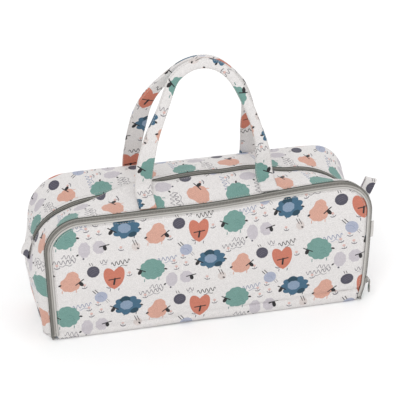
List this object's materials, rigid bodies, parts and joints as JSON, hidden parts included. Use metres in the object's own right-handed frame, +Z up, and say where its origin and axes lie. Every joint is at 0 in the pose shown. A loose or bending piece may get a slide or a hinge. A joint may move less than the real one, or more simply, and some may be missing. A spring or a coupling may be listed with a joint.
{
  "type": "knitting bag",
  "caption": "Long soft knitting bag: zipped crowned top, front panel that unzips on three sides and folds down over a needle pocket, and two carrying handles.",
  "frame": {"origin": "middle of the underside, level with the surface that the bag stands on", "axes": "+Z up, -Y towards the zipped front panel, +X to the right as seen from the front"},
  "size_m": [0.4766, 0.1263, 0.3568],
  "materials": {
    "printed_cloth": "matte",
    "lining": "matte",
    "base_board": "matte",
    "zip_tape": "matte",
    "zip_teeth": "satin",
    "piping": "matte",
    "label": "matte",
    "slider_metal": "satin"
  },
  "bodies": {
    "bag": {"back_panel": "printed_cloth", "base_panel": "printed_cloth", "base_board": "base_board", "divider_panel": "lining", "hinge_strip": "printed_cloth", "left_end_panel": "printed_cloth", "right_end_panel": "printed_cloth", "front_strip": "printed_cloth", "rear_strip": "printed_cloth", "main_zip_tape_front": "zip_tape", "main_zip_tape_rear": "zip_tape", "main_zip_chain_front": "zip_teeth", "main_zip_chain_rear": "zip_teeth", "body_zip_tape": "zip_tape", "body_zip_chain": "zip_teeth", "main_zip_stop_left": "slider_metal", "main_zip_stop_right": "slider_metal", "front_zip_stop_left": "slider_metal", "front_zip_stop_right": "slider_metal", "zip_tab_left": "printed_cloth", "zip_tab_right": "printed_cloth", "side_label": "label", "front_handle_anchor_left": "printed_cloth", "front_handle_anchor_right": "printed_cloth", "rear_handle_anchor_left": "printed_cloth", "rear_handle_anchor_right": "printed_cloth"},
    "flap": {"flap_panel": "printed_cloth", "flap_lining": "lining", "flap_piping": "piping", "flap_zip_tape": "zip_tape", "flap_zip_chain": "zip_teeth", "needle_pocket": "lining"},
    "front_handle": {"front_handle_strap": "printed_cloth"},
    "rear_handle": {"rear_handle_strap": "printed_cloth"},
    "front_slider": {"front_zip_slider": "slider_metal"},
    "front_pull": {"front_zip_pull": "slider_metal"},
    "main_slider": {"main_zip_slider": "slider_metal"},
    "main_pull": {"main_zip_pull": "slider_metal"}
  },
  "joints": [
    {"name": "flap_hinge", "type": "hinge", "parent": "bag", "child": "flap", "pos_m": [0, -0.06, 0.006], "axis": [1, 0, 0], "range_deg": [0, 90]},
    {"name": "front_handle_fold", "type": "hinge", "parent": "bag", "child": "front_handle", "pos_m": [0, -0.026, 0.1902], "axis": [1, 0, 0], "range_deg": [0, 80]},
    {"name": "rear_handle_fold", "type": "hinge", "parent": "bag", "child": "rear_handle", "pos_m": [0, 0.064, 0.172], "axis": [-1, 0, 0], "range_deg": [0, 110]},
    {"name": "front_zip_run", "type": "slide", "parent": "bag", "child": "front_slider", "axis": [0.0303, 0, 0.9995], "range_m": [0, 0.09]},
    {"name": "front_pull_swing", "type": "hinge", "parent": "front_slider", "child": "front_pull", "pos_m": [0.22101, -0.05704, 0.029], "axis": [0, -1, 0], "range_deg": [0, 170]},
    {"name": "main_zip_run", "type": "hinge", "parent": "bag", "child": "main_slider", "pos_m": [0.122, 0, 0.082], "axis": [0, -1, 0], "range_deg": [0, 64]},
    {"name": "main_pull_swing", "type": "hinge", "parent": "main_slider", "child": "main_pull", "pos_m": [0.21975, 0, 0.12552], "axis": [0, -1, 0], "range_deg": [0, 140]}
  ]
}
